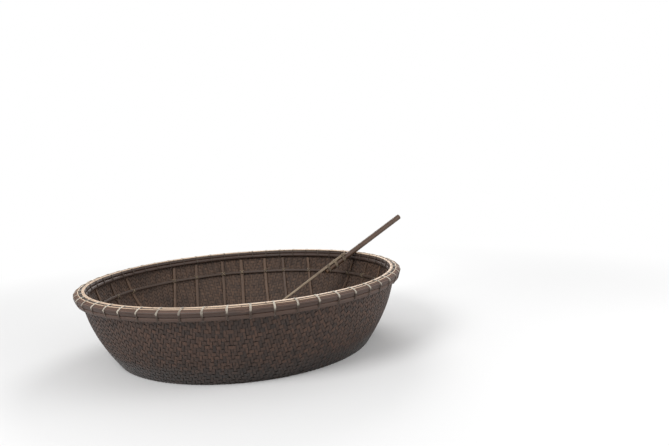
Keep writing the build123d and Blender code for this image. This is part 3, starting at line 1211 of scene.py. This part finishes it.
@dataclass
class RibSet:
    """Two layers of split-bamboo ribs that cross on the floor and run up to the rim.

    Each rib of across and along is its distance from the middle of the boat and its width.
    """

    form: BowlForm
    sweep: StripSweep
    across: tuple[Pair, ...] = (
        (-0.610, 0.024), (-0.395, 0.027), (-0.205, 0.025), (0.015, 0.029), (0.190, 0.025), (0.420, 0.027),
        (0.600, 0.024))
    along: tuple[Pair, ...] = (
        (-0.620, 0.025), (-0.430, 0.026), (-0.185, 0.024), (-0.010, 0.029), (0.215, 0.026), (0.385, 0.027),
        (0.615, 0.024))
    thickness: float = 0.007
    lower_inset: float = 0.0093
    upper_inset: float = 0.0166
    end_gap: float = 0.010
    step: float = 0.022
    trace_points: int = 1500
    joint_pitch: float = 0.31
    joint_step: float = 0.17
    joint_rise: float = 0.05
    joint_width: float = 0.016
    sway: float = 0.0022
    sway_waves: tuple[int, ...] = (1, 3, 7)
    shape: tuple[int, float] = (8, 0.5)
    turned_seed: int = 10
    tone_seed: int = 40
    finish: SplitBamboo = SplitBamboo(
        "rib_bamboo", linear(106, 81, 62), linear(62, 46, 36), linear(128, 102, 80))

    def _line(self, offset: float, inset: float, turned: bool, seed: int) -> Line:
        """Line of one rib, up one wall, over the floor and up the other.

        Args:
            offset: Its distance from the middle of the boat.
            inset: How far its middle lies inside the hull's outer face.
            turned: True for a rib along Y.
            seed: Seed of its unevenness.

        Returns:
            The line.
        """
        lengths = np.linspace(0.0, self.form.foot_length - self.end_gap, self.trace_points)
        radii = self.form.radius(lengths, inset)
        keep = radii > abs(offset)
        side = np.sqrt(radii[keep] ** 2 - offset ** 2)
        side = np.concatenate([-side[::-1], side])
        lengths = np.concatenate([lengths[keep][::-1], lengths[keep]])
        run = run_lengths(self.form.place(lengths, np.arctan2(offset, side), inset))
        even = np.linspace(0.0, run[-1], int(run[-1] / self.step) + 1)
        side, lengths = np.interp(even, run, side), np.interp(even, run, lengths)
        sway = wander(even / run[-1] * FULL_TURN, self.sway, seed, self.sway_waves)
        angles = np.arctan2(offset + sway, side)
        if turned:
            angles = math.pi / 2 - angles
        swell = joint_swell(even, self.joint_pitch, self.joint_step * seed, self.joint_rise,
                            self.joint_width)
        return Line(self.form.place(lengths, angles, inset), self.form.inward(lengths, angles), swell, even)

    def build(self) -> None:
        """Lay the lower ribs and then the upper ones."""
        material = self.finish.material()
        layers = (("rib_across", self.across, self.lower_inset, False),
                  ("rib_along", self.along, self.upper_inset, True))
        for label, ribs, inset, turned in layers:
            for number, (offset, width) in enumerate(ribs, 1):
                line = self._line(offset, inset + self.thickness / 2, turned,
                                  number + self.turned_seed * turned)
                section = Section(width, self.thickness, *self.shape)
                piece = self.sweep.run(f"{label}_{number}_bamboo", [line], section, material,
                                       self.tone_seed + number)
                enlist(piece, "rib_bamboo", f"{label}_{number}")


@dataclass
class WallHoop:
    """Split-bamboo hoop that rings the wall on top of the ribs."""

    form: BowlForm
    sweep: StripSweep
    drop: float = 0.130
    width: float = 0.024
    thickness: float = 0.008
    inset: float = 0.0239
    stations: int = 270
    start: float = 0.9
    sway: float = 0.003
    sway_waves: tuple[int, ...] = (2, 3, 7, 13)
    shape: tuple[int, float] = (8, 0.6)
    seed: int = 8
    tone_seed: int = 61
    finish: SplitBamboo = SplitBamboo(
        "hoop_bamboo", linear(76, 57, 45), linear(46, 34, 27), linear(94, 73, 58))

    def build(self) -> None:
        """Bend the hoop round."""
        angles = np.linspace(0, FULL_TURN, self.stations + 1) + self.start
        sway = wander(angles, self.sway, self.seed, self.sway_waves)
        lengths = self.form.foot_length - self.drop + sway
        points = self.form.place(lengths, angles, self.inset + self.thickness / 2)
        line = Line(points, self.form.inward(lengths, angles))
        section = Section(self.width, self.thickness, *self.shape)
        piece = self.sweep.run("wall_hoop_bamboo", [line], section, self.finish.material(), self.tone_seed)
        enlist(piece, "rib_bamboo", "wall_hoop")


@dataclass(frozen=True)
class Crossing:
    """Place where two strips cross: length along the bowl, angle, inset of the top and lean of the tie."""

    length: float
    angle: float
    top: float
    lean: float = 0.0


@dataclass
class CrossTies:
    """Crossed turns of cord that hold the ribs to each other and the wall hoop to the ribs.

    Seat and spacing are shares of the cord's thickness, and the shares for the bend and the top are of reach.
    """

    ribs: RibSet
    hoop: WallHoop
    sweep: StripSweep
    cord: float = 0.0034
    turns: int = 2
    spacing: float = 1.15
    uneven: float = 0.0004
    seat: float = 0.4
    reach: float = 0.031
    bend_share: float = 0.86
    top_share: float = 0.2
    shoulder: float = 0.0205
    foot_inset: float = 0.004
    bend_inset: float = 0.011
    shoulder_drop: float = 0.002
    wall_inset: float = 0.02
    floor_limit: float = 0.93
    seed: int = 83
    tone_seed: int = 9
    finish: TwistedCord = TwistedCord("tie_cord", linear(150, 133, 109), linear(82, 67, 53))

    def _hoop_crossings(self) -> list[Crossing]:
        """Where ribs pass under the hoop."""
        length = self.ribs.form.foot_length - self.hoop.drop
        radius = float(self.ribs.form.radius(length, self.hoop.inset))
        angles = []
        for offset, _ in self.ribs.across:
            lean = math.asin(offset / radius)
            angles += [lean, math.pi - lean]
        for offset, _ in self.ribs.along:
            lean = math.acos(offset / radius)
            angles += [lean, -lean]
        return [Crossing(length, angle, self.hoop.inset + self.hoop.thickness) for angle in angles]

    def _rib_crossings(self) -> list[Crossing]:
        """Where ribs cross each other, up to the foot of the wall."""
        form, top = self.ribs.form, self.ribs.upper_inset + self.ribs.thickness
        crossings = []
        for y, _ in self.ribs.across:
            for x, _ in self.ribs.along:
                radius, angle = math.hypot(x, y), math.atan2(y, x)
                if radius < self.floor_limit:
                    length = float(np.interp(radius, form.radii, form.lengths))
                    crossings.append(Crossing(length, angle, top, -angle))
        return crossings

    def _turn(self, crossing: Crossing, side: int, slip: float) -> Line:
        """One turn over a crossing, from the mat on one side to the mat on the other.

        Args:
            crossing: Where it is.
            side: 1 or -1 for the two ways it is crossed.
            slip: How far the turn is shifted sideways.

        Returns:
            The line.
        """
        form = self.ribs.form
        top = crossing.top + self.cord * self.seat
        half = np.array((self.reach, self.reach * self.bend_share, self.shoulder,
                         self.reach * self.top_share))
        run = np.concatenate([-half, half[::-1]])
        inset = np.array((self.foot_inset, self.bend_inset, top - self.shoulder_drop, top))
        tilt = side * math.pi / 4 + crossing.lean
        radius = max(float(form.radius(crossing.length, self.wall_inset)), self.wall_inset)
        x = radius + run * math.cos(tilt) - slip * math.sin(tilt)
        y = run * math.sin(tilt) + slip * math.cos(tilt)
        lengths = crossing.length + np.hypot(x, y) - radius
        angles = crossing.angle + np.arctan2(y, x)
        points = form.place(lengths, angles, np.concatenate([inset, inset[::-1]]))
        return Line(points, form.inward(lengths, angles))

    def build(self) -> None:
        """Tie every crossing."""
        rng = np.random.default_rng(self.seed)
        material = self.finish.material()
        kinds = (("hoop_ties_cord", self._hoop_crossings()), ("rib_ties_cord", self._rib_crossings()))
        for name, crossings in kinds:
            lines = []
            for crossing in crossings:
                for side in (1, -1):
                    for number in range(self.turns):
                        slip = (number - (self.turns - 1) / 2) * self.cord * self.spacing
                        lines.append(self._turn(crossing, side, slip + rng.normal(0, self.uneven)))
            piece = self.sweep.run(name, lines, cord_section(self.cord), material, self.tone_seed)
            enlist(piece, "cord")


@dataclass
class ScullingOar:
    """Round pole with a plank blade lashed to its flat, as it lies in the boat.

    Its own frame has the blade's tip at the origin, +X along it and the plank's underside at no height.
    Each lashing is its distance from the blade's root end and its width. Each knot of the pole is a hump
    with a groove beside it, and the blade is sawn a little wavy.
    """

    sweep: StripSweep
    foot: Triple = (-0.185, 0.160, 0.0330327)
    heading: float = math.radians(18)
    lean: float = math.asin(0.4676673)
    roll: float = math.radians(-22)
    seed: int = 97
    tone_seed: int = 13
    pole_radius: float = 0.0240
    pole_skin: float = 0.985
    pole_length: float = 0.880
    pole_flat: float = 0.006
    pole_sides: int = 24
    pole_stations: int = 60
    bevel: float = 0.004
    bevel_slope: float = 0.9
    seat_room: float = 0.0001
    cut_depth: float = 0.0012
    blade_length: float = 1.290
    overlap: float = 0.230
    root_width: float = 0.062
    blade_width: float = 0.128
    shoulder: float = 0.420
    root_thickness: float = 0.022
    tip_thickness: float = 0.013
    tip_radius: float = 0.045
    blade_edge: float = 0.0042
    edge_room: float = 0.001
    edge_points: int = 4
    tip_stations: int = 9
    blade_stations: int = 58
    wave: float = 0.0006
    waves: float = 31.0
    wave_from: float = 0.05
    end_shrink: float = 0.0012
    end_reach: float = 0.001
    tip_room: float = 0.0004
    body_start: float = 0.06
    body_gap: float = 0.006
    end_bevel: float = 0.0015
    cord: float = 0.0038
    cord_corners: int = 6
    points_per_turn: int = 22
    uneven: float = 0.0003
    lashings: tuple[Pair, ...] = ((0.035, 0.030), (0.125, 0.024), (0.200, 0.026))
    knots: tuple[float, ...] = (1.262, 1.455, 1.652, 1.843)
    knot_stations: tuple[float, ...] = (-0.016, -0.007, -0.002, 0.002, 0.006, 0.014)
    knot_width: float = 0.006
    knot_rise: float = 0.0009
    knot_shade: float = 0.3
    groove_shift: float = 0.008
    groove_width: float = 0.003
    groove_depth: float = 0.0006
    pole_finish: RoundBamboo = RoundBamboo()
    blade_finish: PlankWood = PlankWood()
    cord_finish: TwistedCord = TwistedCord("oar_cord", linear(150, 134, 112), linear(84, 70, 57))

    @property
    def neck(self) -> float:
        """Where the pole's lower end is, along the oar."""
        return self.blade_length - self.overlap

    def _place(self, points: Array) -> Array:
        """Points of the oar's own frame, put where the oar lies."""
        turn = (Matrix.Rotation(self.heading, 3, "Z") @ Matrix.Rotation(-self.lean, 3, "Y")
                @ Matrix.Rotation(self.roll, 3, "X"))
        return points @ np.array(turn).T + np.array(self.foot)

    def _pole(self) -> None:
        """Pole with knots, a worn round top end and the flat under the blade."""
        start, end = self.neck - self.bevel, self.neck - self.bevel + self.pole_length
        seat_end = self.blade_length + self.bevel
        places = set(np.round(np.linspace(start, end, self.pole_stations), 4))
        places |= {start + self.bevel, end - self.bevel, end - self.bevel / 3}
        places |= {seat_end, seat_end + self.cut_depth}
        for knot in self.knots:
            places |= {round(knot + step, 5) for step in self.knot_stations}
        stations = np.array(sorted(places))
        turns = np.linspace(0, FULL_TURN, self.pole_sides, endpoint=False)
        rings, cut, knots = [], [], []
        for x in stations:
            edge = min(x - start, end - x)
            hump = sum(math.exp(-((x - knot) / self.knot_width) ** 2) for knot in self.knots)
            groove = sum(math.exp(-((x - knot - self.groove_shift) / self.groove_width) ** 2)
                         for knot in self.knots)
            radius = (self.pole_radius * self.pole_skin - max(self.bevel - edge, 0.0) * self.bevel_slope
                      + self.knot_rise * hump - self.groove_depth * groove)
            z = self.pole_flat - self.pole_radius + radius * np.sin(turns)
            if x <= seat_end:
                z = np.minimum(z, -self.seat_room)
            rings.append(np.stack([np.full(self.pole_sides, x), radius * np.cos(turns), z], -1))
            ended = 1.0 if edge < self.bevel * 0.5 else 0.0
            cut.append(np.where((z > -self.cut_depth) & (x <= seat_end), 1.0, ended))
            knots.append(np.full(self.pole_sides, min(1.0, groove + self.knot_shade * hump)))
        marks = {"along": np.repeat(stations, self.pole_sides),
                 "across": np.tile(np.cos(turns), len(stations)),
                 "outside": np.tile(np.sin(turns), len(stations)),
                 "cut": np.concatenate(cut), "knot": np.concatenate(knots)}
        piece = loft("oar_pole_round", [self._place(ring) for ring in rings], self.pole_finish.material(),
                     marks)
        enlist(piece, "pole_bamboo", "oar_pole")

    def _half_width(self, x: float) -> float:
        """Half the blade's width at a distance from its tip."""
        full, root = self.blade_width / 2, self.root_width / 2
        if x < self.tip_radius:
            return full - self.tip_radius + math.sqrt(self.tip_radius ** 2 - (self.tip_radius - x) ** 2)
        narrow = min(max((x - self.neck + self.shoulder) / self.shoulder, 0.0), 1.0)
        return full + (root - full) * narrow

    def _blade(self) -> None:
        """Plank blade with softened edges, thinner towards its tip."""
        tip = self.tip_radius * (1 - np.cos(np.linspace(0, math.pi / 2, self.tip_stations)))
        end = self.blade_length
        stations = np.concatenate([tip + self.tip_room,
                                   np.linspace(self.body_start, end - self.body_gap, self.blade_stations),
                                   [end - self.end_bevel, end]])
        rings, across, outside = [], [], []
        for x in stations:
            share = min(x / self.neck, 1.0) ** 2
            thick = self.tip_thickness + (self.root_thickness - self.tip_thickness) * share
            shrink = self.end_shrink if min(x, end - x) < self.end_reach else 0.0
            wave = self.wave * math.sin(self.waves * x) if x > self.wave_from else 0.0
            half = self._half_width(x) - shrink + wave
            edge = min(self.blade_edge, thick / 2 - self.edge_room)
            ring = []
            for corner, (side, face) in enumerate(((1, 1), (-1, 1), (-1, -1), (1, -1))):
                for turn in np.linspace(0, math.pi / 2, self.edge_points) + corner * math.pi / 2:
                    ring.append((x, side * (half - edge) + edge * math.cos(turn),
                                 face * (thick / 2 - shrink - edge) + edge * math.sin(turn) + thick / 2))
            ring = np.array(ring)
            rings.append(self._place(ring))
            across.append(ring[:, 1] / (self.blade_width / 2))
            outside.append((ring[:, 2] - thick / 2) / thick)
        marks = {"along": np.repeat(stations, len(rings[0])), "across": np.concatenate(across),
                 "outside": np.concatenate(outside)}
        enlist(loft("oar_blade_plank", rings, self.blade_finish.material(), marks), "blade_wood", "oar_blade")

    def _lashing(self, middle: float, width: float, rng: np.random.Generator) -> Line:
        """Turns of cord round the pole and the blade's root.

        Args:
            middle: Place of the turns' middle along the oar.
            width: Width over all turns.
            rng: Source of their unevenness.

        Returns:
            The line.
        """
        turns = np.linspace(0, FULL_TURN, self.pole_sides, endpoint=False)
        pole = np.stack([np.cos(turns), np.sin(turns)], -1) * self.pole_radius
        pole[:, 1] += self.pole_flat - self.pole_radius
        root = [(side * self.root_width / 2, height) for side in (1, -1)
                for height in (0.0, self.root_thickness)]
        ring = ring_round(np.concatenate([pole, root]), self.cord * 0.5, self.points_per_turn)
        count = int(width / self.cord)
        steps = np.arange(count * self.points_per_turn + 1)
        section = ring[steps % self.points_per_turn]
        slip = (steps / self.points_per_turn / count - 0.5) * (width - self.cord)
        slip = slip + rng.normal(0, self.uneven, len(steps))
        away = unit(section - ring.mean(axis=0))
        placed, tips = (self._place(np.column_stack([middle + slip, flat]))
                        for flat in (section, section + away))
        return Line(placed, unit(tips - placed))

    def build(self) -> None:
        """Make the pole, the blade and the lashings round both."""
        self._pole()
        self._blade()
        rng = np.random.default_rng(self.seed)
        lines = [self._lashing(self.blade_length - distance, width, rng) for distance, width in self.lashings]
        section, material = cord_section(self.cord, self.cord_corners), self.cord_finish.material()
        piece = self.sweep.run("oar_lashings_cord", lines, section, material, self.tone_seed)
        enlist(piece, "cord", "oar_lashings")


@dataclass
class Studio:
    """Floor at the waterline, soft lamps, pale surroundings and the camera.

    Each lamp is its name, place, size and power.
    """

    hull_radius: float = 0.9415
    floor_reach: float = 60.0
    floor_sides: int = 128
    lens: float = 31.83
    sensor: float = 36.0
    sight: float = 200.0
    camera_place: Triple = (0.0, -4.580, 1.414)
    camera_turn: Triple = (-0.095, -0.0561, -0.1597)
    lamps: tuple[tuple[str, Triple, float, float], ...] = (
        ("key", (-3.2, -3.6, 4.6), 3.0, 230.0),
        ("fill", (4.2, -2.4, 2.8), 3.2, 90.0),
        ("back", (1.0, 4.6, 3.6), 3.0, 150.0),
    )
    lamp_aim: Triple = (0.0, 0.0, 0.35)
    world_level: float = 0.55

    def _floor(self) -> None:
        """Ring of floor, open inside the hull."""
        sides = self.floor_sides
        turns = np.linspace(0, FULL_TURN, sides, endpoint=False)
        points = np.concatenate([around(reach, turns, WATERLINE)
                                 for reach in (self.hull_radius, self.floor_reach)])
        faces = [(n, n + sides, (n + 1) % sides + sides, (n + 1) % sides) for n in range(sides)]
        mesh = bpy.data.meshes.new("floor")
        mesh.from_pydata(points, [], faces)
        mesh.materials.append(StudioFloor().material())
        floor = add_object("floor", mesh)

    def _lights(self) -> None:
        """Soft area lamps round the boat."""
        for name, place, size, power in self.lamps:
            lamp = bpy.data.lights.new(name, "AREA")
            lamp.shape, lamp.size, lamp.energy = "DISK", size, power
            holder = add_object(name, lamp)
            holder.location = place
            aim = Vector(self.lamp_aim) - Vector(place)
            holder.rotation_euler = aim.to_track_quat("-Z", "Y").to_euler()

    def _world(self) -> None:
        """White to the camera and a soft grey light elsewhere."""
        world = bpy.data.worlds.new("studio")
        world.use_nodes = True
        bpy.context.scene.world = world
        tree = NodeTree(world.node_tree)
        seen = tree.view_rays("Is Camera Ray", "Is Glossy Ray", "Is Transmission Ray")
        strength = seen * (1.0 - self.world_level) + self.world_level
        glow = tree.add("ShaderNodeBackground", {"Color": WHITE, "Strength": strength})
        tree.add("ShaderNodeOutputWorld", {"Surface": glow})

    def _camera(self) -> None:
        """Camera at the photograph's place and angle."""
        camera = bpy.data.cameras.new("camera")
        camera.lens, camera.sensor_width, camera.clip_end = self.lens, self.sensor, self.sight
        holder = add_object("camera", camera)
        pitch, roll, yaw = self.camera_turn
        holder.matrix_world = (Matrix.Translation(self.camera_place) @ Matrix.Rotation(yaw, 4, "Z")
                               @ Matrix.Rotation(math.pi / 2 + pitch, 4, "X") @ Matrix.Rotation(roll, 4, "Z"))
        bpy.context.scene.camera = holder

    def build(self) -> None:
        """Set the studio up."""
        bpy.context.scene.view_settings.view_transform = "Standard"
        self._floor()
        self._lights()
        self._world()
        self._camera()


def main() -> None:
    """Build the boat and its studio."""
    logging.basicConfig(level=logging.INFO, format="%(name)s: %(message)s")
    form, sweep = BowlForm(), StripSweep()
    rim, ribs, hoop = RimBundle(form, sweep), RibSet(form, sweep), WallHoop(form, sweep)
    parts = (WovenMat(form, sweep), rim, RimLashings(rim, sweep), ribs, hoop, CrossTies(ribs, hoop, sweep),
             ScullingOar(sweep), Studio())
    for part in parts:
        part.build()


if __name__ == "__main__":
    main()
